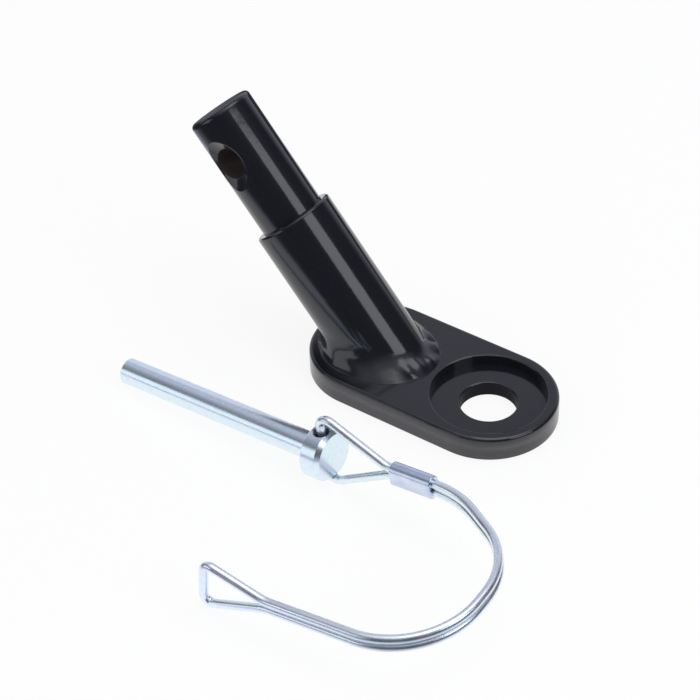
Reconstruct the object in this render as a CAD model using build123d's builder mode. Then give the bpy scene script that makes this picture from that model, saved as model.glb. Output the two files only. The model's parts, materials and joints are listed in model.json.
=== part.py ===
"""Bike trailer hitch: a welded coupler with a leaning peg, its hitch pin and its wire safety clip.

Millimetres, +Z up. The origin is the centre of the axle hole on the underside of the plate.
+X runs along the plate, away from the peg, which leans back over the plate's other end.
The pin and its clip lie beside the coupler on the same flat surface, taken out of the peg.
"""

import os
from math import atan2, cos, degrees, pi, radians, sin, tan

from build123d import *

os.makedirs("parts", exist_ok=True)

# Plate that is clamped on the wheel's axle
plate_width = 33.0
plate_reach = 31.6
plate_thickness = 6.2
plate_top_edge = 0.9
plate_bottom_edge = 0.4
axle_hole_diameter = 13.6
axle_hole_edge = 0.4
recess_diameter = 27.6
recess_depth = 2.55
recess_edge = 0.4

# Sleeve welded to the plate, and the peg held in it
post_lean = 48.5
post_foot = 30.8
peg_diameter = 16.0
peg_exposed = 30.9
peg_engagement = 26.0
peg_end_edge = 1.2
sleeve_fit = 0.05
sleeve_wall = 1.85
sleeve_length = 37.8
sleeve_edge = 0.7

# Countersunk hole across the peg for the hitch pin
pin_hole_diameter = 8.0
pin_hole_setback = 12.2
pin_sink_diameter = 13.4
pin_sink_angle = 118.0
pin_sink_edge = 0.35

# Weld bead round the sleeve's foot
weld_lumps = 40
weld_lump_radius = 2.4
weld_lump_sink = 0.4
weld_ripple = 0.25
weld_ripple_turns = 13

# Hitch pin
shank_diameter = 6.35
shank_length = 57.8
shank_tip_chamfer = 0.8
head_diameter = 12.8
head_thickness = 5.2
head_face_bevel = 1.0
head_shoulder_bevel = 0.4
eye_hole_mouth = 1.0
eye_hole_mouth_angle = 90.0
eye_hole_clearance = 0.08

# Safety clip, bent from one wire: straight runs, and the radius and angle of each bend
wire_diameter = 2.1
wire_grip = 4.2
strand_gap = 0.15
clip_rise = 1.4
lead_heading = 182.6
lead_level = 17.4
lead_radius = 6.0
lead_run = 30.2
eye_height = 10.5
eye_radius = 2.3
heel_radius = 24.0
heel_turn = 30.0
heel_to_side = 6.6
side_radius = 19.5
side_turn = 59.6
side_to_toe = 2.6
toe_radius = 19.5
toe_turn = 87.9
toe_run = 22.0
loop_length = 15.9
loop_height = 15.3
loop_skew = 1.4
loop_corner_radius = 1.9
split_radius = 9.0

# Ferrule crimped round the clip's two strands
ferrule_setback = 19.0
ferrule_length = 10.8
ferrule_wall = 0.8
ferrule_fit = 0.02
ferrule_edge = 0.25

# Where the pin lies: its tip on the floor, and its heading from the head to the tip
tip_x = -77.15
tip_y = -38.05
pin_heading = 178.4
floor_gap = 0.03

# Sizes that follow from those above
axle_hole_radius = axle_hole_diameter / 2
recess_radius = recess_diameter / 2
peg_radius = peg_diameter / 2
sleeve_bore_radius = peg_radius + sleeve_fit
sleeve_radius = sleeve_bore_radius + sleeve_wall
shank_radius = shank_diameter / 2
head_radius = head_diameter / 2
wire_radius = wire_diameter / 2
strand_pitch = wire_diameter + strand_gap
loop_half = (loop_height - wire_diameter) / 2
pin_tip = head_thickness / 2 + shank_length
plate_top = Plane.XY.offset(plate_thickness)

# The post's own plane: origin where its axis meets the plate, z along the axis
lean = radians(post_lean)
post = Plane(
    origin=(-post_foot, 0, plate_thickness),
    x_dir=(0, 1, 0),
    z_dir=(-cos(lean), 0, sin(lean)),
)
post_axis = Axis(post.origin, post.z_dir)
post_tail = sleeve_radius / tan(lean) + sleeve_wall


def heading_vector(angle):
    """Unit vector in the clip's plane, at an angle from the pin's own direction."""
    return Vector(cos(radians(angle)), sin(radians(angle)), 0)


def setback(radius, turn):
    """Length from a bend's corner to where its arc starts, for a wire that turns by an angle."""
    return radius * tan(radians(turn) / 2)


def bend_reach(corner, slope, radius):
    """How far the wire's surface reaches out at an end bend whose straight legs meet at corner."""
    return corner - setback(radius, 90 + slope) + radius + wire_radius


# The clip's corners in its own plane, laid out bend by bend from the hinge in the pin's head
lead = heading_vector(lead_heading)
heel_heading = lead_heading - heel_turn
side_heading = heel_heading - side_turn
toe_heading = side_heading - toe_turn
heel = lead * (lead_run + setback(heel_radius, heel_turn))
side = heel + heading_vector(heel_heading) * (
    setback(heel_radius, heel_turn) + heel_to_side + setback(side_radius, side_turn)
)
toe = side + heading_vector(side_heading) * (
    setback(side_radius, side_turn) + side_to_toe + setback(toe_radius, toe_turn)
)
split_point = toe + heading_vector(toe_heading) * (setback(toe_radius, toe_turn) + toe_run)
loop_end = split_point + heading_vector(toe_heading) * loop_length

# The three places where the pin with its clip touches the floor, in the pin's own frame
eye_slope = degrees(atan2(eye_height - strand_pitch / 2, lead_level))
loop_slope = degrees(atan2(loop_half - strand_pitch / 2, loop_length + loop_skew))
up = Vector(0, 0, 1)
tip_foot = Vector(pin_tip - shank_tip_chamfer, 0, -shank_radius)
eye_foot = lead * eye_radius + up * (clip_rise - bend_reach(eye_height, eye_slope, eye_radius))
loop_foot = (
    loop_end
    + heading_vector(toe_heading) * (loop_skew - loop_corner_radius)
    + up * (clip_rise - bend_reach(loop_half, loop_slope, loop_corner_radius))
)

# The pin's own frame as it lies: x along the shank to the tip, z along the clip's hinge
floor_normal = (loop_foot - tip_foot).cross(eye_foot - tip_foot).normalized()
across = floor_normal.cross(Vector(1, 0, 0)).normalized()
lying = Plane(origin=tip_foot, x_dir=across.cross(floor_normal), z_dir=floor_normal)
resting_place = Location((tip_x, tip_y, floor_gap), (0, 0, pin_heading))
pin_frame = Plane(resting_place * lying.location.inverse())
pin_axis = Axis(pin_frame.origin, pin_frame.x_dir)
pin_section = Plane(origin=pin_frame.origin, x_dir=pin_frame.x_dir, z_dir=-pin_frame.y_dir)

# Plate: a flat oval bar with a counterbored axle hole
with BuildPart() as axle_plate:
    with BuildSketch(Plane(origin=(-plate_reach / 2, 0, 0))):
        SlotCenterToCenter(plate_reach, plate_width)
    extrude(amount=plate_thickness)
    fillet(axle_plate.faces().sort_by(Axis.Z)[-1].edges(), plate_top_edge)
    fillet(axle_plate.faces().sort_by(Axis.Z)[0].edges(), plate_bottom_edge)
    with Locations((0, 0, plate_thickness)):
        CounterBoreHole(axle_hole_radius, recess_radius, recess_depth)
    fillet(axle_plate.faces().sort_by(Axis.Z)[-1].inner_wires()[0].edges(), recess_edge)
    recess_floor = axle_plate.faces().filter_by(Axis.Z).sort_by(Axis.Z)[1]
    fillet(recess_floor.inner_wires()[0].edges(), axle_hole_edge)
axle_plate.part.label = "axle_plate"
export_step(axle_plate.part, "parts/axle_plate.step")

# Sleeve: a tube cut off along the plate's top face
with BuildPart() as sleeve_tube:
    with BuildSketch(post.offset(-post_tail)):
        Circle(sleeve_radius)
        Circle(sleeve_bore_radius, mode=Mode.SUBTRACT)
    extrude(amount=post_tail + sleeve_length)
    split(bisect_by=plate_top, keep=Keep.TOP)
    fillet(sleeve_tube.faces().sort_by(post_axis)[-1].outer_wire().edges(), sleeve_edge)
sleeve_tube.part.label = "sleeve_tube"
export_step(sleeve_tube.part, "parts/sleeve_tube.step")

# Peg: a round bar with a rounded end and a hole countersunk from both sides
pin_hole_centre = post.origin + post.z_dir * (sleeve_length + peg_exposed - pin_hole_setback)
with BuildPart() as coupling_peg:
    with BuildSketch(post.offset(sleeve_length - peg_engagement)):
        Circle(peg_radius)
    extrude(amount=peg_engagement + peg_exposed)
    fillet(coupling_peg.faces().sort_by(post_axis)[-1].edges(), peg_end_edge)
    for side_dir in (Vector(0, -1, 0), Vector(0, 1, 0)):
        with Locations(Plane(origin=pin_hole_centre + side_dir * peg_radius, z_dir=side_dir)):
            CounterSinkHole(
                pin_hole_diameter / 2,
                pin_sink_diameter / 2,
                depth=peg_diameter,
                counter_sink_angle=pin_sink_angle,
            )
    peg_wall = coupling_peg.faces().filter_by(GeomType.CYLINDER).sort_by(SortBy.AREA)[-1]
    fillet(peg_wall.inner_wires().edges(), pin_sink_edge)
coupling_peg.part.label = "coupling_peg"
export_step(coupling_peg.part, "parts/coupling_peg.step")

# Weld: a lumpy bead that follows the oval where the sleeve meets the plate
foot_half_length = sleeve_radius / sin(lean)
with BuildPart() as weld_bead:
    for lump in range(weld_lumps):
        angle = 2 * pi * lump / weld_lumps
        lump_radius = weld_lump_radius + weld_ripple * sin(weld_ripple_turns * angle)
        lump_x = foot_half_length * cos(angle) - post_foot
        lump_y = sleeve_radius * sin(angle)
        with Locations((lump_x, lump_y, plate_thickness - weld_lump_sink)):
            Sphere(lump_radius)
    split(bisect_by=plate_top, keep=Keep.TOP)
    with BuildSketch(post.offset(-post_tail)):
        Circle(sleeve_radius)
    extrude(amount=post_tail + sleeve_length, mode=Mode.SUBTRACT)
weld_bead.part.label = "weld_bead"
export_step(weld_bead.part, "parts/weld_bead.step")

# Hitch pin: a turned shank and head, with a hole across the head for the clip's two ends
with BuildPart() as hitch_pin:
    with BuildSketch(pin_section):
        with BuildLine():
            Polyline(
                (-head_thickness / 2, 0),
                (-head_thickness / 2, head_radius - head_face_bevel),
                (-head_thickness / 2 + head_face_bevel, head_radius),
                (head_thickness / 2 - head_shoulder_bevel, head_radius),
                (head_thickness / 2, head_radius - head_shoulder_bevel),
                (head_thickness / 2, shank_radius),
                (pin_tip - shank_tip_chamfer, shank_radius),
                (pin_tip, shank_radius - shank_tip_chamfer),
                (pin_tip, 0),
                close=True,
            )
        make_face()
    revolve(axis=pin_axis)
    eye_hole_radius = wire_radius + eye_hole_clearance
    for mouth_dir in (pin_frame.z_dir, -pin_frame.z_dir):
        with Locations(Plane(origin=pin_frame.origin + mouth_dir * head_radius, z_dir=mouth_dir)):
            CounterSinkHole(
                eye_hole_radius,
                eye_hole_radius + eye_hole_mouth,
                depth=head_diameter,
                counter_sink_angle=eye_hole_mouth_angle,
            )
hitch_pin.part.label = "hitch_pin"
export_step(hitch_pin.part, "parts/hitch_pin.step")


def strand_corners(way):
    """Corners of one strand, from its end in the pin's head to its corner of the end loop."""
    level = up * (clip_rise + way * strand_pitch / 2)
    corners = [
        up * way * (head_radius - wire_grip),
        up * (clip_rise + way * eye_height),
        lead * lead_level + level,
        heel + level,
        side + level,
        toe + level,
        split_point + level,
        loop_end - heading_vector(toe_heading) * way * loop_skew + up * (clip_rise + way * loop_half),
    ]
    return [pin_frame.from_local_coords(corner) for corner in corners]


# Safety clip: one round wire, doubled along the bow and opened into an eye and a loop
strand_radii = [
    eye_radius,
    lead_radius,
    heel_radius,
    side_radius,
    toe_radius,
    split_radius,
    loop_corner_radius,
]
with BuildPart() as wire_clip:
    with BuildLine() as clip_path:
        FilletPolyline(
            *strand_corners(1),
            *reversed(strand_corners(-1)),
            radius=strand_radii + strand_radii[::-1],
        )
    with BuildSketch(Plane(origin=clip_path.line @ 0, z_dir=clip_path.line % 0)):
        Circle(wire_radius)
    sweep(path=clip_path.line)
wire_clip.part.label = "wire_clip"
export_step(wire_clip.part, "parts/wire_clip.step")

# Ferrule: a flattened tube pressed round both strands
ferrule_start = pin_frame.from_local_coords(lead * ferrule_setback + up * clip_rise)
lead_in_row = pin_frame.from_local_coords(lead) - pin_frame.origin
with BuildPart() as clip_ferrule:
    with BuildSketch(Plane(origin=ferrule_start, x_dir=pin_frame.z_dir, z_dir=lead_in_row)):
        SlotCenterToCenter(strand_pitch, wire_diameter + 2 * (ferrule_fit + ferrule_wall))
        SlotCenterToCenter(strand_pitch, wire_diameter + 2 * ferrule_fit, mode=Mode.SUBTRACT)
    extrude(amount=ferrule_length)
    ferrule_axis = Axis(ferrule_start, lead_in_row)
    for end in (0, -1):
        fillet(clip_ferrule.faces().sort_by(ferrule_axis)[end].outer_wire().edges(), ferrule_edge)
clip_ferrule.part.label = "clip_ferrule"
export_step(clip_ferrule.part, "parts/clip_ferrule.step")
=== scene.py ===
# %% [markdown]
# # A bike trailer hitch, dressed in Blender
# The hitch is a black powder-coated weldment: a plate for the wheel's axle, a leaning sleeve and a
# peg. A zinc-plated pin and its wire safety clip lie beside it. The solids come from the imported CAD
# model, at their real size and place, so this script only adds a weld bead with a natural surface,
# the finishes, a studio and a camera.

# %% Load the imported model
import json
import math

import bpy
from mathutils import Matrix, Vector, noise


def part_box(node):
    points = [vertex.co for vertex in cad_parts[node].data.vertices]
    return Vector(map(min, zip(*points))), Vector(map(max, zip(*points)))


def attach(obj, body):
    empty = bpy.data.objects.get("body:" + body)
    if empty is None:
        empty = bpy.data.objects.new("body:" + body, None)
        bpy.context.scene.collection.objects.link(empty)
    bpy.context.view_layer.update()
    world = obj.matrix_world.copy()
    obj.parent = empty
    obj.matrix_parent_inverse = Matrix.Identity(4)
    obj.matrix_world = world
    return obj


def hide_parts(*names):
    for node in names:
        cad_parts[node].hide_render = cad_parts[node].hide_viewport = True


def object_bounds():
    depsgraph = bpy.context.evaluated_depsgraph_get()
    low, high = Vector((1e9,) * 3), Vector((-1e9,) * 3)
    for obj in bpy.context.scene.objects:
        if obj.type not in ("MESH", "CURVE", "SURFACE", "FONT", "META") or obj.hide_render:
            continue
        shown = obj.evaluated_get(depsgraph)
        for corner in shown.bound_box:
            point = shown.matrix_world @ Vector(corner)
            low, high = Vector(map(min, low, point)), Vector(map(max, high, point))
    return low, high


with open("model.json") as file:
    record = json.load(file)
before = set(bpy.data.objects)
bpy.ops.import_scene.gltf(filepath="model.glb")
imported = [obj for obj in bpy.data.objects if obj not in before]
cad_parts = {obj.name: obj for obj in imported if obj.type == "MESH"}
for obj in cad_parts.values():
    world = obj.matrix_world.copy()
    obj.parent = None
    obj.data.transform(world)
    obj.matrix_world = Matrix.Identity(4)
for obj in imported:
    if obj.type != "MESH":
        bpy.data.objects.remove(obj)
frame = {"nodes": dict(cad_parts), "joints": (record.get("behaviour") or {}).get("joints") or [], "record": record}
nodes = frame["nodes"]
mounts = {mount["name"]: mount for mount in frame["record"]["mounts"]}
cad_low, cad_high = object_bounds()
scene = bpy.context.scene
scene.view_settings.view_transform = "Standard"
MM = 0.001
print("nodes:", sorted(nodes))
print("box in mm:", [round(size / MM, 1) for size in cad_high - cad_low])

# %% [markdown]
# ## The camera
# The photograph was taken from above the right-hand front, with a long lens. The values below were
# found by matching the plate's outline, the two tubes and the pin in the picture. A long lens far
# away keeps parallel edges nearly parallel, which is how small products are usually shown.

# %% Camera
IMAGE_PIXELS = 700
FOCAL_PIXELS = 2472.6
CAMERA_AZIMUTH = math.radians(36.86)
CAMERA_ELEVATION = math.radians(39.62)
CAMERA_ROLL = math.radians(1.8)
CAMERA_DISTANCE = 600 * MM
CAMERA_NEAREST = 10 * MM
AIM = Vector((-40.57, 0.71, 0.0)) * MM

back = Vector((
    math.sin(CAMERA_AZIMUTH) * math.cos(CAMERA_ELEVATION),
    -math.cos(CAMERA_AZIMUTH) * math.cos(CAMERA_ELEVATION),
    math.sin(CAMERA_ELEVATION),
))
level_right = Vector((math.cos(CAMERA_AZIMUTH), math.sin(CAMERA_AZIMUTH), 0.0))
level_up = back.cross(level_right)
right = level_right * math.cos(CAMERA_ROLL) - level_up * math.sin(CAMERA_ROLL)
upward = level_up * math.cos(CAMERA_ROLL) + level_right * math.sin(CAMERA_ROLL)

camera_data = bpy.data.cameras.new("portrait_camera")
camera_data.lens = FOCAL_PIXELS / IMAGE_PIXELS * camera_data.sensor_width
camera_data.clip_start = CAMERA_NEAREST
camera = bpy.data.objects.new("portrait_camera", camera_data)
scene.collection.objects.link(camera)
camera.matrix_world = Matrix((right, upward, back)).transposed().to_4x4()
camera.location = AIM + back * CAMERA_DISTANCE
scene.camera = camera
print("lens in mm:", round(camera_data.lens, 1))

# %% [markdown]
# ## The studio
# Black gloss paint and bright zinc have hardly any colour of their own: what we see on them is the
# room. So the room is built for its reflections: a white table that gets darker away from the object,
# walls that are dim all round and lighter behind on the left, a softbox on the right that draws the
# long stripe on the tubes, one in front on the left for the pin and the weld, and one overhead. A
# single bright dome would be simpler, but gloss paint would then look grey all over. The table and
# the sky are plain white for the camera, and the table still takes the object's soft shadow.

# %% Sky
SKY_LIGHT = 0.55


def add_node(tree, kind, **settings):
    """Makes a node and sets its properties by name."""
    node = tree.nodes.new(kind)
    for name, value in settings.items():
        setattr(node, name, value)
    return node


def seen_directly(tree):
    """A value of 1 on camera, mirror and glass rays, and 0 on the rays that only carry light."""
    path = add_node(tree, "ShaderNodeLightPath")
    mirror = add_node(tree, "ShaderNodeMath", operation="MAXIMUM")
    seen = add_node(tree, "ShaderNodeMath", operation="MAXIMUM")
    tree.links.new(path.outputs["Is Glossy Ray"], mirror.inputs[0])
    tree.links.new(path.outputs["Is Transmission Ray"], mirror.inputs[1])
    tree.links.new(path.outputs["Is Camera Ray"], seen.inputs[0])
    tree.links.new(mirror.outputs[0], seen.inputs[1])
    return seen.outputs[0]


sky = bpy.data.worlds.new("white_sky")
scene.world = sky
sky.use_nodes = True
tree = sky.node_tree
tree.nodes.clear()
soft_light = add_node(tree, "ShaderNodeBackground")
soft_light.inputs["Strength"].default_value = SKY_LIGHT
white = add_node(tree, "ShaderNodeBackground")
white.inputs["Color"].default_value = (1, 1, 1, 1)
sky_mix = add_node(tree, "ShaderNodeMixShader")
sky_out = add_node(tree, "ShaderNodeOutputWorld")
tree.links.new(seen_directly(tree), sky_mix.inputs["Fac"])
tree.links.new(soft_light.outputs[0], sky_mix.inputs[1])
tree.links.new(white.outputs[0], sky_mix.inputs[2])
tree.links.new(sky_mix.outputs[0], sky_out.inputs["Surface"])
print("sky light:", SKY_LIGHT)

# %% Table
TABLE_RADIUS = 3.0
TABLE_DROP = 0.02 * MM
TABLE_GLOW = 0.80
TABLE_ALBEDO = 0.92
TABLE_WHITE = 1.08
floor_level = cad_low.z - TABLE_DROP


def round_sheet(name, radius, height, corners=96):
    """A flat disc, for the table."""
    turn = 2 * math.pi / corners
    points = [(radius * math.cos(turn * i), radius * math.sin(turn * i), height) for i in range(corners)]
    mesh = bpy.data.meshes.new(name)
    mesh.from_pydata(points, [], [list(range(corners))])
    sheet = bpy.data.objects.new(name, mesh)
    scene.collection.objects.link(sheet)
    return sheet


table = round_sheet("table", TABLE_RADIUS, floor_level)
table_paint = bpy.data.materials.new("white_table")
table_paint.use_nodes = True
tree = table_paint.node_tree
tree.nodes.clear()
matte = add_node(tree, "ShaderNodeBsdfDiffuse")
matte.inputs["Color"].default_value = (TABLE_ALBEDO, TABLE_ALBEDO, TABLE_ALBEDO, 1)
glow = add_node(tree, "ShaderNodeEmission")
glow.inputs["Strength"].default_value = TABLE_WHITE
share = add_node(tree, "ShaderNodeMath", operation="MULTIPLY")
share.inputs[1].default_value = TABLE_GLOW
table_mix = add_node(tree, "ShaderNodeMixShader")
table_out = add_node(tree, "ShaderNodeOutputMaterial")
tree.links.new(seen_directly(tree), share.inputs[0])
tree.links.new(share.outputs[0], table_mix.inputs["Fac"])
tree.links.new(matte.outputs[0], table_mix.inputs[1])
tree.links.new(glow.outputs[0], table_mix.inputs[2])
tree.links.new(table_mix.outputs[0], table_out.inputs["Surface"])
table.data.materials.append(table_paint)
print("table glow share:", TABLE_GLOW)

# %% Surfaces that only show in reflections
DAYLIGHT_BLUE = 1.2
RING_SIDES = 96


def tone_ramp(tree, tones):
    """Greys with a little blue, as daylight has. Each tone is a place on the ramp and a brightness."""
    ramp = add_node(tree, "ShaderNodeValToRGB")
    while len(ramp.color_ramp.elements) < len(tones):
        ramp.color_ramp.elements.new(1.0)
    for element, (place, tone) in zip(ramp.color_ramp.elements, tones):
        element.position = place
        element.color = (tone, tone, tone * DAYLIGHT_BLUE, 1)
    return ramp


def ring_between(lower, upper):
    """Points and faces of a band between two circles, each given by its radius and height."""
    turns = [2 * math.pi * i / RING_SIDES for i in range(RING_SIDES)]
    points = [(r * math.cos(t), r * math.sin(t), z) for r, z in (lower, upper) for t in turns]
    after = [(i + 1) % RING_SIDES for i in range(RING_SIDES)]
    faces = [(i, after[i], RING_SIDES + after[i], RING_SIDES + i) for i in range(RING_SIDES)]
    return points, faces


def mirror_only(name, lower, upper, material):
    """A round band of the studio that shows in reflections, and nowhere else."""
    points, faces = ring_between(lower, upper)
    mesh = bpy.data.meshes.new(name)
    mesh.from_pydata(points, [], faces)
    mesh.materials.append(material)
    surface = bpy.data.objects.new(name, mesh)
    surface.visible_camera = False
    surface.visible_diffuse = False
    surface.visible_shadow = False
    scene.collection.objects.link(surface)
    print(name, "radii in mm:", round(lower[0] / MM, 1), round(upper[0] / MM, 1))
    return surface


def new_glow(name):
    """A material that only glows: returns it, its tree and the glow."""
    material = bpy.data.materials.new(name)
    material.use_nodes = True
    tree = material.node_tree
    tree.nodes.clear()
    glow = add_node(tree, "ShaderNodeEmission")
    out = add_node(tree, "ShaderNodeOutputMaterial")
    tree.links.new(glow.outputs[0], out.inputs["Surface"])
    return material, tree, glow


# %% Walls, dim all round but for the side behind on the left
WALL_RADIUS = 1.3
WALL_HEIGHT = 2.6
# Places on these two ramps go up the wall, from the floor (0) to its top (1)
DIM_TONES = [(0.0, 0.10), (0.05, 0.05), (0.30, 0.07), (0.55, 0.34), (0.8, 0.56)]
LIGHT_TONES = [
    (0.0, 0.70), (0.15, 0.75), (0.27, 0.74), (0.42, 0.48), (0.50, 0.46), (0.58, 0.42), (0.8, 0.50),
]
LIGHT_SIDE = Vector((-0.6, 0.8, 0))
LIGHT_STARTS = 0.40
LIGHT_FULL = 0.75

wall_paint, tree, wall_glow = new_glow("studio_wall")
place = add_node(tree, "ShaderNodeTexCoord")
upward_part = add_node(tree, "ShaderNodeSeparateXYZ")
sideways = add_node(tree, "ShaderNodeVectorMath", operation="DOT_PRODUCT")
sideways.inputs[1].default_value = LIGHT_SIDE / WALL_RADIUS
light_share = add_node(tree, "ShaderNodeMapRange", interpolation_type="SMOOTHSTEP")
light_share.inputs["From Min"].default_value = LIGHT_STARTS
light_share.inputs["From Max"].default_value = LIGHT_FULL
dim = tone_ramp(tree, DIM_TONES)
light = tone_ramp(tree, LIGHT_TONES)
wall_mix = add_node(tree, "ShaderNodeMix", data_type="RGBA")
tree.links.new(place.outputs["Generated"], upward_part.inputs[0])
tree.links.new(place.outputs["Object"], sideways.inputs[0])
tree.links.new(sideways.outputs["Value"], light_share.inputs["Value"])
tree.links.new(upward_part.outputs["Z"], dim.inputs["Fac"])
tree.links.new(upward_part.outputs["Z"], light.inputs["Fac"])
tree.links.new(light_share.outputs["Result"], wall_mix.inputs["Factor"])
tree.links.new(dim.outputs["Color"], wall_mix.inputs["A"])
tree.links.new(light.outputs["Color"], wall_mix.inputs["B"])
tree.links.new(wall_mix.outputs["Result"], wall_glow.inputs["Color"])
wall_top = floor_level + WALL_HEIGHT
mirror_only("studio_wall", (WALL_RADIUS, floor_level), (WALL_RADIUS, wall_top), wall_paint)

# %% Grey cloth round the white part of the table
# Places on this ramp go out from the cloth's centre, in metres, once they are stretched
CLOTH_TONES = [(0.25, 1.0), (0.29, 0.50), (0.325, 0.18), (0.35, 0.08), (0.75, 0.05)]
CLOTH_CENTRE = Vector((-20, 25, 0)) * MM
CLOTH_STRETCH = Vector((2.4, 2.1, 0))
CLOTH_LIFT = 0.5 * MM

cloth_paint, tree, cloth_glow = new_glow("grey_cloth")
place = add_node(tree, "ShaderNodeTexCoord")
stretch = add_node(tree, "ShaderNodeVectorMath", operation="MULTIPLY")
stretch.inputs[1].default_value = CLOTH_STRETCH
reach = add_node(tree, "ShaderNodeVectorMath", operation="LENGTH")
cloth = tone_ramp(tree, CLOTH_TONES)
tree.links.new(place.outputs["Object"], stretch.inputs[0])
tree.links.new(stretch.outputs["Vector"], reach.inputs[0])
tree.links.new(reach.outputs["Value"], cloth.inputs["Fac"])
tree.links.new(cloth.outputs["Color"], cloth_glow.inputs["Color"])
cloth_hole = CLOTH_TONES[0][0] / CLOTH_STRETCH.x
grey_cloth = mirror_only("grey_cloth", (cloth_hole, 0.0), (WALL_RADIUS, 0.0), cloth_paint)
grey_cloth.location = CLOTH_CENTRE + Vector((0, 0, floor_level + CLOTH_LIFT))

# %% Shade on the table inside the axle hole
SHADE_TONE = 0.16
SHADE_CENTRE = 0.1 * MM

shade_paint, tree, shade_glow = new_glow("hole_shade")
shade_glow.inputs["Color"].default_value = (SHADE_TONE, SHADE_TONE, SHADE_TONE, 1)
shade_radius = mounts["axle_bore"]["dims"]["r_mm"] * MM
shade_level = floor_level + TABLE_DROP / 2
mirror_only("hole_shade", (SHADE_CENTRE, shade_level), (shade_radius, shade_level), shade_paint)

# %% Softboxes
LAMP_COLOUR = (0.92, 0.955, 1.0)
# Each softbox: its name and direction, its distance, width and height in metres, and how bright it looks
SOFTBOXES = [
    ("stripe_softbox", (0.85, -0.055, 0.52), 0.8, 0.40, 0.3, 2.1),
    ("front_softbox", (-0.52, -0.85, 0.22), 0.85, 0.72, 0.46, 1.05),
    ("top_softbox", (0.20, 0.10, 0.97), 1.0, 0.7, 0.7, 1.2),
]

for name, direction, distance, width, height, radiance in SOFTBOXES:
    lamp = bpy.data.lights.new(name, "AREA")
    lamp.shape = "RECTANGLE"
    lamp.size = width
    lamp.size_y = height
    lamp.energy = radiance * math.pi * width * height
    lamp.color = LAMP_COLOUR
    softbox = bpy.data.objects.new(name, lamp)
    scene.collection.objects.link(softbox)
    toward = Vector(direction).normalized()
    softbox.location = AIM + toward * distance
    softbox.rotation_euler = toward.to_track_quat("Z", "Y").to_euler()
    print(name, "energy in W:", round(lamp.energy, 2))

# %% [markdown]
# ## The weld bead
# The bead was run round the sleeve's foot, and the paint then rounded it off. It flows far up the
# sleeve as one smooth fillet, leaves the plate steeply near the axle hole and gently on the left, and
# has a few lumps where the arc stopped, and a notch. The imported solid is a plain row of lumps. A
# sculpted or remeshed bead would do, but a closed ring of quads keeps every size in sight: at each
# angle a cubic curve goes from the plate up to the sleeve, and noise and a short list of lumps push
# it in and out. The whole ring sinks a little, so that no edge floats.

# %% Where the sleeve meets the plate
plate_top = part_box("axle_plate")[1].z
sleeve_low, sleeve_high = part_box("sleeve_tube")
sleeve_radius = (sleeve_high.y - sleeve_low.y) / 2
post_axis = Vector(mounts["coupling_peg"]["axis"])
post_point = Vector(mounts["coupling_peg"]["pos_m"])
foot_centre = post_point + post_axis * ((plate_top - post_point.z) / post_axis.z)
foot_half_length = sleeve_radius / post_axis.z
print("foot half length and radius in mm:", round(foot_half_length / MM, 2), round(sleeve_radius / MM, 2))

# %% Sizes of the bead round the foot
# At each angle in degrees: reach on the plate, reach up the sleeve and swell of the bead, in mm, and how
# steeply the bead leaves the plate, as a share of its reach up the sleeve
BEAD_PROFILE = [
    (-180, 2.4, 5.5, 0.15, 0.10),
    (-140, 3.2, 7.0, 0.06, 0.04),
    (-108, 3.8, 8.9, 0.05, 0.05),
    (-85, 3.3, 9.0, 0.07, 0.16),
    (-60, 3.1, 8.8, 0.10, 0.20),
    (-25, 2.7, 7.0, 0.20, 0.20),
    (10, 2.2, 5.0, 0.35, 0.17),
    (45, 2.2, 3.6, 0.45, 0.17),
    (90, 2.8, 5.0, 0.30, 0.16),
    (135, 2.8, 5.5, 0.20, 0.14),
    (180, 2.4, 5.5, 0.15, 0.10),
]
# Each lump: angle round the foot in degrees, place from plate (0) to sleeve (1), and half width and
# height in mm
LUMPS = [
    (-27, 0.42, 1.4, 0.55),
    (-12, 0.55, 1.5, 0.50),
    (6, 0.40, 1.3, 0.40),
    (31, 0.50, 1.5, 0.40),
    (42, 0.60, 0.6, -0.75),
    (53, 0.50, 1.5, 0.45),
    (-98, 0.55, 3.0, 0.40),
    (-133, 0.80, 2.6, -0.20),
    (-158, 0.50, 2.5, 0.20),
    (104, 0.50, 2.2, 0.30),
    (150, 0.50, 2.5, 0.30),
]


def bead_sizes(angle):
    """The bead's two reaches, swell and lift at an angle, eased between the rows of its profile."""
    degrees = math.degrees(math.remainder(angle, 2 * math.pi))
    for (start, *before), (stop, *after) in zip(BEAD_PROFILE, BEAD_PROFILE[1:]):
        if start <= degrees <= stop:
            part = (degrees - start) / (stop - start)
            eased = part * part * (3 - 2 * part)
            return [low + (high - low) * eased for low, high in zip(before, after)]


print("bead sizes towards the axle hole:", [round(size, 2) for size in bead_sizes(0)])

# %% One point of the bead
TOE_KEEP = 0.62
LEG_EASE = 0.42
CREST_LEAN = 0.68
WANDER_CELLS = 17
WANDER_LEVEL = 0.7
TOE_WANDER = 0.35
LEG_WANDER = 0.4
SWELL_WANDER = 0.8
RIPPLE_CELLS = 48
RIPPLE_RISE = 3
SWELL_RIPPLE = 0.2
LUMP_SPAN = 0.35


def round_noise(angle, cells, level):
    """Smooth noise that closes on itself after a full turn, with about so many cells in the turn."""
    reach = cells / (2 * math.pi)
    return noise.noise(Vector((reach * math.cos(angle), reach * math.sin(angle), level)))


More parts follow.
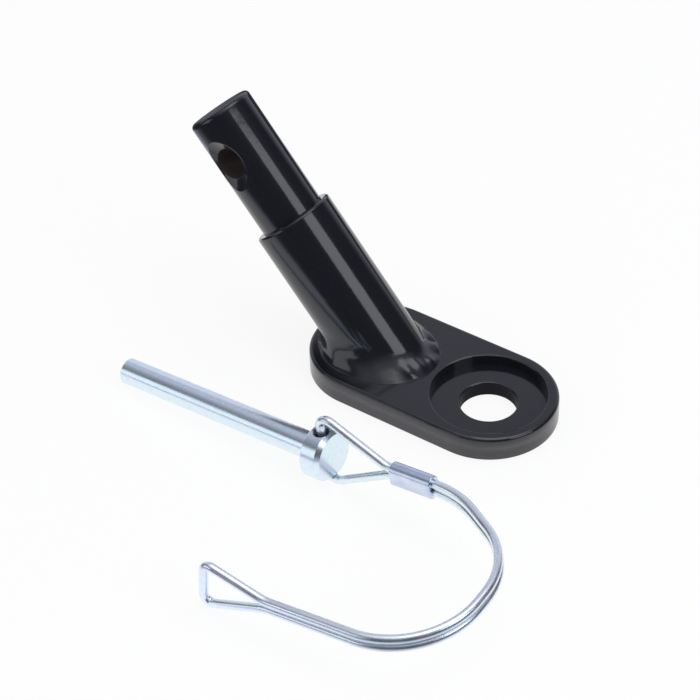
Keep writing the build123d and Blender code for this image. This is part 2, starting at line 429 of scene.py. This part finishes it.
def bead_point(angle, rise):
    """A point on the bead: angle goes round the foot, rise goes from the plate to the sleeve."""
    seam = foot_centre + Vector((foot_half_length * math.cos(angle), sleeve_radius * math.sin(angle), 0))
    slope = Vector((math.cos(angle) / foot_half_length, math.sin(angle) / sleeve_radius, 0))
    outward = slope.normalized()
    wander = round_noise(angle, WANDER_CELLS, WANDER_LEVEL)
    reach_out, reach_up, swell, lift = bead_sizes(angle)
    toe = outward * (reach_out + TOE_WANDER * wander) * MM
    leg = post_axis * (reach_up - LEG_WANDER * wander) * MM
    near_toe = toe * TOE_KEEP + leg * lift
    near_leg = leg * LEG_EASE
    fall = 1 - rise
    point = seam + toe * fall ** 3 + (near_toe * fall + near_leg * rise) * 3 * rise * fall + leg * rise ** 3
    ripple = round_noise(angle, RIPPLE_CELLS, RIPPLE_RISE * rise)
    swell *= 1 + SWELL_WANDER * wander + SWELL_RIPPLE * ripple
    along_foot = (seam - foot_centre).length
    for lump_angle, lump_rise, half_width, height in LUMPS:
        turn = math.remainder(angle - math.radians(lump_angle), 2 * math.pi)
        along = turn * along_foot / (half_width * MM)
        across = (rise - lump_rise) / LUMP_SPAN
        swell += height * math.exp(-along ** 2 - across ** 2)
    away = (outward + post_axis).normalized()
    return point + away * swell * math.sin(math.pi * rise ** CREST_LEAN) ** 2 * MM


print("bead's top towards the axle hole, in mm:", round(bead_point(0, 1).z / MM, 2))

# %% Weld bead
BEAD_STEPS = 360
BEAD_ROWS = 18
BEAD_SINK = 0.05 * MM
BEAD_ROOT = 0.5 * MM
HIDDEN_FOLD = math.radians(60)


def weld_ring():
    """The closed bead as one mesh, with its hidden root row inside the corner."""
    points = []
    for step in range(BEAD_STEPS):
        angle = 2 * math.pi * step / BEAD_STEPS
        for row in range(BEAD_ROWS + 1):
            points.append(bead_point(angle, row / BEAD_ROWS) - Vector((0, 0, BEAD_SINK)))
        inward = Vector((math.cos(angle), math.sin(angle), 0)) * BEAD_ROOT
        seam = Vector((foot_half_length * math.cos(angle), sleeve_radius * math.sin(angle), -BEAD_ROOT))
        points.append(foot_centre + seam - inward)
    count = BEAD_ROWS + 2
    faces = []
    for step in range(BEAD_STEPS):
        here = step * count
        there = (step + 1) % BEAD_STEPS * count
        for row in range(count):
            after = (row + 1) % count
            faces.append((here + row, there + row, there + after, here + after))
    mesh = bpy.data.meshes.new("weld_roll")
    mesh.from_pydata(points, [], faces)
    mesh.shade_smooth()
    mesh.set_sharp_from_angle(angle=HIDDEN_FOLD)
    return bpy.data.objects.new("weld_roll", mesh)


weld = weld_ring()
scene.collection.objects.link(weld)
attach(weld, "coupler")
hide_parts("weld_bead")
print("weld bead quads:", len(weld.data.polygons))

# %% [markdown]
# ## Shared effects
# Two effects turn up in more than one finish. The first is a gentle unevenness: paint that levelled
# as it baked, or plating over turned steel, is never an optical mirror. The second is drawn grain:
# fine lines that run along a bar or a tube. Each could be drawn again in every material, but as a
# node group it is built once, and each material only sets its scale. The groups put out heights and
# masks, and no shaders.

# %% Gentle unevenness
WAVE_DETAIL = 1.5
MOTTLE_DETAIL = 4.0


def new_group(name, inputs, outputs):
    """An empty shader group. Inputs have a name, a kind and a first value, and outputs are numbers."""
    group = bpy.data.node_groups.new(name, "ShaderNodeTree")
    for socket, kind, value in inputs:
        group.interface.new_socket(socket, in_out="INPUT", socket_type=kind).default_value = value
    for socket in outputs:
        group.interface.new_socket(socket, in_out="OUTPUT", socket_type="NodeSocketFloat")
    entry = add_node(group, "NodeGroupInput")
    leave = add_node(group, "NodeGroupOutput")
    return group, entry, leave


def unevenness_group():
    """Broad waves and a finer mottle, both from noise in the object's own space."""
    inputs = [("Wave Scale", "NodeSocketFloat", 400.0), ("Mottle Scale", "NodeSocketFloat", 900.0)]
    group, entry, leave = new_group("gentle_unevenness", inputs, ["Height", "Mottle"])
    place = add_node(group, "ShaderNodeTexCoord")
    waves = add_node(group, "ShaderNodeTexNoise")
    waves.inputs["Detail"].default_value = WAVE_DETAIL
    mottle = add_node(group, "ShaderNodeTexNoise")
    mottle.inputs["Detail"].default_value = MOTTLE_DETAIL
    group.links.new(place.outputs["Object"], waves.inputs["Vector"])
    group.links.new(place.outputs["Object"], mottle.inputs["Vector"])
    group.links.new(entry.outputs["Wave Scale"], waves.inputs["Scale"])
    group.links.new(entry.outputs["Mottle Scale"], mottle.inputs["Scale"])
    group.links.new(waves.outputs["Fac"], leave.inputs["Height"])
    group.links.new(mottle.outputs["Fac"], leave.inputs["Mottle"])
    return group


unevenness = unevenness_group()
print("group:", unevenness.name)

# %% Drawn grain
LINE_DETAIL = 3.0


def grain_group():
    """Fine lines along one direction: noise in a space that is stretched along that direction."""
    inputs = [
        ("Turn", "NodeSocketVector", (0.0, 0.0, 0.0)),
        ("Stretch", "NodeSocketVector", (40.0, 1500.0, 1500.0)),
    ]
    group, entry, leave = new_group("drawn_grain", inputs, ["Lines"])
    place = add_node(group, "ShaderNodeTexCoord")
    turned = add_node(group, "ShaderNodeVectorRotate", rotation_type="EULER_XYZ", invert=True)
    stretched = add_node(group, "ShaderNodeVectorMath", operation="MULTIPLY")
    lines = add_node(group, "ShaderNodeTexNoise")
    lines.inputs["Scale"].default_value = 1.0
    lines.inputs["Detail"].default_value = LINE_DETAIL
    group.links.new(place.outputs["Object"], turned.inputs["Vector"])
    group.links.new(entry.outputs["Turn"], turned.inputs["Rotation"])
    group.links.new(turned.outputs["Vector"], stretched.inputs[0])
    group.links.new(entry.outputs["Stretch"], stretched.inputs[1])
    group.links.new(stretched.outputs["Vector"], lines.inputs["Vector"])
    group.links.new(lines.outputs["Fac"], leave.inputs["Lines"])
    return group


grain = grain_group()
print("group:", grain.name)


# %% Material helpers
def new_finish(name):
    """A fresh material, its tree and its shader."""
    finish = bpy.data.materials.new(name)
    finish.use_nodes = True
    return finish, finish.node_tree, finish.node_tree.nodes["Principled BSDF"]


def place_group(tree, group, **values):
    """Puts a shared effect in a material and sets its inputs; underscores in names stand for spaces."""
    node = add_node(tree, "ShaderNodeGroup", node_tree=group)
    for name, value in values.items():
        node.inputs[name.replace("_", " ")].default_value = value
    return node


def ranged(tree, source, low, high, start=0.3, stop=0.7):
    """Maps a mask from start and stop to a range of values. Noise keeps mostly between the first two."""
    node = add_node(tree, "ShaderNodeMapRange")
    node.inputs["From Min"].default_value = start
    node.inputs["From Max"].default_value = stop
    node.inputs["To Min"].default_value = low
    node.inputs["To Max"].default_value = high
    tree.links.new(source, node.inputs["Value"])
    return node.outputs["Result"]


def two_tones(tree, mask, first, second):
    """Mixes two colours by a mask. Each is a plain colour or comes from another node."""
    node = add_node(tree, "ShaderNodeMix", data_type="RGBA")
    tree.links.new(mask, node.inputs["Factor"])
    for socket, colour in (("A", first), ("B", second)):
        if isinstance(colour, tuple):
            node.inputs[socket].default_value = (*colour, 1)
        else:
            tree.links.new(colour, node.inputs[socket])
    return node.outputs["Result"]


def bump(tree, shader, height, depth):
    """Lets a height push the shading in and out by about the depth given."""
    node = add_node(tree, "ShaderNodeBump")
    node.inputs["Strength"].default_value = 1.0
    node.inputs["Distance"].default_value = depth
    tree.links.new(height, node.inputs["Height"])
    tree.links.new(node.outputs["Normal"], shader.inputs["Normal"])


def wear(node_or_piece, finish):
    """Gives an object one finish in all its slots."""
    node_or_piece.data.materials.clear()
    node_or_piece.data.materials.append(finish)
    print(node_or_piece.name, "wears", finish.name)


# %% [markdown]
# ## Black powder coat
# Powder coat melts and levels into a deep gloss with a faint orange peel. Its own colour is almost
# black with a hint of blue. The gloss is a plain dielectric reflection, so the shader needs only a
# dark base, a low roughness that varies a little, and a bump of a few micrometres. Three places
# differ. On the plate's side a lighter grey band is painted in, as a painted reflection of the bright
# table. On the weld the coat is softer and lumpier. The powder hardly gets into the hole across the
# peg, so there the steel stays brown and dull. Painted masks would need an unwrapped mesh, so each
# place is found from its distance to a hole's axis, its height or the way that it faces.

# %% Bare steel in the peg's hole, and a painted reflection on the plate's side
RECESS_RADIUS = 13.9 * MM
RECESS_RIM = 0.5 * MM
PEG_HOLE_RADIUS = mounts["peg_pin_hole"]["dims"]["r_mm"] * MM
PEG_HOLE_RIM = 0.15 * MM
SIDE_UPRIGHT = 0.05
SIDE_LEANING = 0.6
# How much of the painted reflection shows, from the plate's underside (0) to its top (1)
SIDE_BAND = [(0.0, 0.45), (0.38, 0.38), (0.58, 0.9), (0.74, 0.3), (0.85, 0.0)]


def offset_from(tree, mount):
    """The way from a mount's point to the place that is shaded."""
    place = add_node(tree, "ShaderNodeTexCoord")
    offset = add_node(tree, "ShaderNodeVectorMath", operation="SUBTRACT")
    offset.inputs[1].default_value = mount["pos_m"]
    tree.links.new(place.outputs["Object"], offset.inputs[0])
    return offset.outputs["Vector"]


def near_axis(tree, mount, radius, rim):
    """A mask that is 1 within a radius of a hole's axis, and fades to 0 across its rim."""
    swept = add_node(tree, "ShaderNodeVectorMath", operation="CROSS_PRODUCT")
    swept.inputs[1].default_value = mount["axis"]
    distance = add_node(tree, "ShaderNodeVectorMath", operation="LENGTH")
    tree.links.new(offset_from(tree, mount), swept.inputs[0])
    tree.links.new(swept.outputs["Vector"], distance.inputs[0])
    return ranged(tree, distance.outputs["Value"], 1.0, 0.0, radius, radius + rim)


def product(tree, first, second):
    """Multiplies two masks."""
    node = add_node(tree, "ShaderNodeMath", operation="MULTIPLY")
    tree.links.new(first, node.inputs[0])
    tree.links.new(second, node.inputs[1])
    return node.outputs[0]


def plate_side(tree):
    """A mask for the painted reflection on the plate's outer side, beyond the recess: most in a band above the
    middle.
    """
    place = add_node(tree, "ShaderNodeTexCoord")
    facing = add_node(tree, "ShaderNodeSeparateXYZ")
    tree.links.new(place.outputs["Normal"], facing.inputs[0])
    upright = ranged(tree, facing.outputs["Z"], 1.0, 0.0, SIDE_UPRIGHT, SIDE_LEANING)
    inside = near_axis(tree, mounts["axle_bore"], RECESS_RADIUS, RECESS_RIM)
    outside = ranged(tree, inside, 1.0, 0.0, 0.0, 1.0)
    height = add_node(tree, "ShaderNodeSeparateXYZ")
    tree.links.new(place.outputs["Object"], height.inputs[0])
    band = tone_ramp(tree, SIDE_BAND)
    tree.links.new(ranged(tree, height.outputs["Z"], 0.0, 1.0, 0.0, plate_top), band.inputs["Fac"])
    return product(tree, product(tree, upright, outside), band.outputs["Color"])


def peg_hole(tree):
    """A mask for the wall of the hole across the peg."""
    return near_axis(tree, mounts["peg_pin_hole"], PEG_HOLE_RADIUS, PEG_HOLE_RIM)


print("bare hole radius in mm:", round(PEG_HOLE_RADIUS / MM, 2))

# %% Powder coat
COAT_DARK = (0.0098, 0.0104, 0.0150)
COAT_LIGHT = (0.0135, 0.0143, 0.0205)
COAT_IOR = 1.6
COAT_ROUGH = (0.09, 0.14)
COAT_PEEL = 0.014 * MM
COAT_WAVES = 420.0
COAT_MOTTLE = 1100.0
WELD_ROUGH = (0.13, 0.19)
WELD_PEEL = 0.035 * MM
# Each place with another look: its mask, its dark and light tones, and its range of roughness
# Painted reflection: a lighter grey band on the plate's side, standing in for the bright table it mirrors
PAINTED_SIDE_REFLECTION = (plate_side, (0.055, 0.053, 0.060), (0.105, 0.101, 0.112), (0.2, 0.3))
BARE_HOLE = (peg_hole, (0.035, 0.024, 0.020), (0.075, 0.052, 0.042), (0.5, 0.7))


def mixed(tree, mask, first, second):
    """Mixes two values by a mask."""
    node = add_node(tree, "ShaderNodeMix", data_type="FLOAT")
    tree.links.new(mask, node.inputs["Factor"])
    tree.links.new(first, node.inputs["A"])
    tree.links.new(second, node.inputs["B"])
    return node.outputs["Result"]


def powder_coat(name, rough=COAT_ROUGH, peel=COAT_PEEL, other_coat_and_reflection=None):
    """The gloss black finish of the weldment. If given, one place gets other tones and roughness, as for bare
    steel and for a painted reflection.
    """
    finish, tree, shader = new_finish(name)
    skin = place_group(tree, unevenness, Wave_Scale=COAT_WAVES, Mottle_Scale=COAT_MOTTLE)
    colour = two_tones(tree, skin.outputs["Mottle"], COAT_DARK, COAT_LIGHT)
    gloss = ranged(tree, skin.outputs["Mottle"], *rough)
    if other_coat_and_reflection:
        find_place, other_dark, other_light, other_rough = other_coat_and_reflection
        mask = find_place(tree)
        other = two_tones(tree, skin.outputs["Height"], other_dark, other_light)
        colour = two_tones(tree, mask, colour, other)
        gloss = mixed(tree, mask, gloss, ranged(tree, skin.outputs["Mottle"], *other_rough))
    tree.links.new(colour, shader.inputs["Base Color"])
    tree.links.new(gloss, shader.inputs["Roughness"])
    shader.inputs["IOR"].default_value = COAT_IOR
    bump(tree, shader, skin.outputs["Height"], peel)
    return finish


wear(nodes["sleeve_tube"], powder_coat("black_powder_coat"))
wear(weld, powder_coat("black_coat_on_weld", WELD_ROUGH, WELD_PEEL))
wear(nodes["axle_plate"], powder_coat("black_coat_painted_side_reflection", other_coat_and_reflection=PAINTED_SIDE_REFLECTION))
wear(nodes["coupling_peg"], powder_coat("black_coat_bare_hole", other_coat_and_reflection=BARE_HOLE))

# %% [markdown]
# ## Bright zinc
# The pin, the clip and the ferrule are zinc plated and passivated, which gives a bluish silver with a
# satin sheen and a faint lilac in places. The pin was turned from drawn bar, so lines run along its
# shank, but not over its head. The spring wire is smooth, and the duller ferrule shows the lines of
# the tube it was cut from. The hole across the pin's head gets painted shade: its wall is darkened. A
# plain metal would mirror the room too clearly: here a small share scatters as paint does, and tone
# and roughness are mottled.

# %% Zinc plate
ZINC_METAL = 0.93
ZINC_WAVES = 260.0
ZINC_MOTTLE = 900.0
ZINC_TONES = ((0.73, 0.87, 0.955), (0.79, 0.94, 1.0))
LILAC_TINT = (0.86, 0.86, 0.97)
LILAC_SHARE = 0.6
LILAC_STARTS = 0.45
LILAC_FULL = 0.7
LINE_STRETCH = 50.0
LINE_MEAN = 0.5
GROOVE_ROUGH = 1.25
RIDGE_ROUGH = 0.85
pin_axis = Vector(mounts["pin_shank"]["axis"])
line_turn = Vector((1, 0, 0)).rotation_difference(pin_axis).to_euler()


def zinc(name, rough, line_scale, depth, tones=ZINC_TONES, lined=None, wavy=False):
    """Satin zinc plate. Lines run along the pin, or only where a mask says. The bump is lines or waves."""
    finish, tree, shader = new_finish(name)
    shader.inputs["Metallic"].default_value = ZINC_METAL
    stretch = (LINE_STRETCH, line_scale, line_scale)
    lines = place_group(tree, grain, Turn=line_turn, Stretch=stretch).outputs["Lines"]
    if lined:
        fade = add_node(tree, "ShaderNodeMix", data_type="FLOAT")
        fade.inputs["A"].default_value = LINE_MEAN
        tree.links.new(lined(tree), fade.inputs["Factor"])
        tree.links.new(lines, fade.inputs["B"])
        lines = fade.outputs["Result"]
    skin = place_group(tree, unevenness, Wave_Scale=ZINC_WAVES, Mottle_Scale=ZINC_MOTTLE)
    waves = skin.outputs["Height"]
    silver = two_tones(tree, ranged(tree, skin.outputs["Mottle"], 0.0, 1.0), *tones)
    lilac = ranged(tree, waves, 0.0, LILAC_SHARE, LILAC_STARTS, LILAC_FULL)
    tree.links.new(two_tones(tree, lilac, silver, LILAC_TINT), shader.inputs["Base Color"])
    satin = ranged(tree, lines, rough * GROOVE_ROUGH, rough * RIDGE_ROUGH)
    tree.links.new(satin, shader.inputs["Roughness"])
    bump(tree, shader, waves if wavy else lines, depth)
    return finish


print("lines turned by, in degrees:", [round(math.degrees(angle), 1) for angle in line_turn])

# %% Pin
PIN_ROUGH = 0.23
PIN_LINES = 1400.0
PIN_DEPTH = 0.010 * MM
SHOULDER_FADE = 0.1 * MM
# Painted shade: a dark tone for the wall of the hole across the pin's head
HEAD_HOLE_SHADE = (0.09, 0.10, 0.13)
HEAD_HOLE_RADIUS = 1.7 * MM
HEAD_HOLE_RIM = 0.4 * MM
hinge = next(joint for joint in frame["joints"] if joint["name"] == "clip_hinge")


def on_shank(tree):
    """A mask that is 1 on the pin's shank and 0 on its head, by how far along the axis a point lies."""
    shank = mounts["pin_shank"]
    along = add_node(tree, "ShaderNodeVectorMath", operation="DOT_PRODUCT")
    along.inputs[1].default_value = shank["axis"]
    tree.links.new(offset_from(tree, shank), along.inputs[0])
    shoulder = -shank["dims"]["length_mm"] * MM / 2
    start = shoulder - SHOULDER_FADE
    stop = shoulder + SHOULDER_FADE
    return ranged(tree, along.outputs["Value"], 0.0, 1.0, start, stop)


def shade_head_hole(finish):
    """Paints shade into the hole across the pin's head, by darkening its colour. The clip's hinge runs along its
    axis.
    """
    tree = finish.node_tree
    base = tree.nodes["Principled BSDF"].inputs["Base Color"]
    hole = near_axis(tree, hinge, HEAD_HOLE_RADIUS, HEAD_HOLE_RIM)
    tree.links.new(two_tones(tree, hole, base.links[0].from_socket, HEAD_HOLE_SHADE), base)


pin_zinc = zinc("zinc_turned_pin", PIN_ROUGH, PIN_LINES, PIN_DEPTH, lined=on_shank)
shade_head_hole(pin_zinc)
wear(nodes["hitch_pin"], pin_zinc)

# %% Clip
WIRE_ROUGH = 0.28
WIRE_LINES = 500.0
WIRE_DEPTH = 0.006 * MM
WIRE_TONES = ((0.77, 0.87, 0.92), (0.84, 0.94, 0.97))
wire_zinc = zinc("zinc_spring_wire", WIRE_ROUGH, WIRE_LINES, WIRE_DEPTH, WIRE_TONES, wavy=True)
wear(nodes["wire_clip"], wire_zinc)

# %% Ferrule
FERRULE_ROUGH = 0.24
FERRULE_LINES = 700.0
FERRULE_DEPTH = 0.007 * MM
FERRULE_TONES = ((0.55, 0.64, 0.77), (0.62, 0.72, 0.87))
ferrule_zinc = zinc("zinc_crimped_ferrule", FERRULE_ROUGH, FERRULE_LINES, FERRULE_DEPTH, FERRULE_TONES)
wear(nodes["clip_ferrule"], ferrule_zinc)
